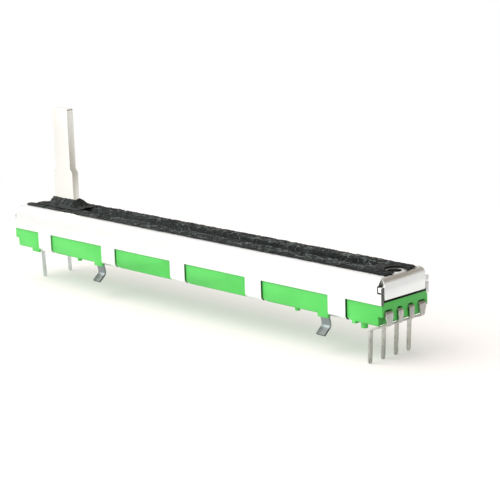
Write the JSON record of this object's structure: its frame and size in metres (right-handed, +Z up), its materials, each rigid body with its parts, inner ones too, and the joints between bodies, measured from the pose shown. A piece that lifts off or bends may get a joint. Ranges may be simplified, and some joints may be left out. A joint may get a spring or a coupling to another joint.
{
  "type": "slide potentiometer",
  "caption": "Long slide potentiometer: bent metal cover over a green moulded base, dark dust strip, tall flat lever and thin leads at both ends.",
  "frame": {"origin": "centre of the base's underside", "axes": "+X along the travel, towards the end with four leads; +Z up through the lever; +Y away from the side with the mounting legs"},
  "size_m": [0.0754, 0.0095, 0.0267],
  "materials": {
    "plated_steel": "bright plated sheet",
    "green_moulding": "smooth moulding",
    "dark_strip": "fibrous",
    "lever_steel": "bright plated sheet",
    "tinned_brass": "tinned",
    "zinc_plated": "dull plated",
    "brown_board": "matt laminate",
    "carbon_ink": "matt print",
    "silver_ink": "matt print",
    "black_carriage": "smooth moulding",
    "spring_bronze": "rolled sheet"
  },
  "bodies": {
    "housing": {"cover": "plated_steel", "dust_strip": "dark_strip", "base": "green_moulding", "resistor_board": "brown_board", "collector_track_a": "silver_ink", "carbon_track_a": "carbon_ink", "collector_track_b": "silver_ink", "carbon_track_b": "carbon_ink", "terminal_near_1": "tinned_brass", "terminal_near_2": "tinned_brass", "terminal_near_3": "tinned_brass", "terminal_near_4": "tinned_brass", "terminal_far_1": "tinned_brass", "terminal_far_2": "tinned_brass", "mounting_leg_1": "zinc_plated", "mounting_leg_2": "zinc_plated"},
    "slider": {"lever": "lever_steel", "carriage": "black_carriage", "wiper_a": "spring_bronze", "wiper_b": "spring_bronze", "slider_spring": "spring_bronze"}
  },
  "joints": [
    {"name": "lever_travel", "type": "slide", "parent": "housing", "child": "slider", "axis": [1, 0, 0], "range_m": [-0.0003, 0.0597]}
  ]
}
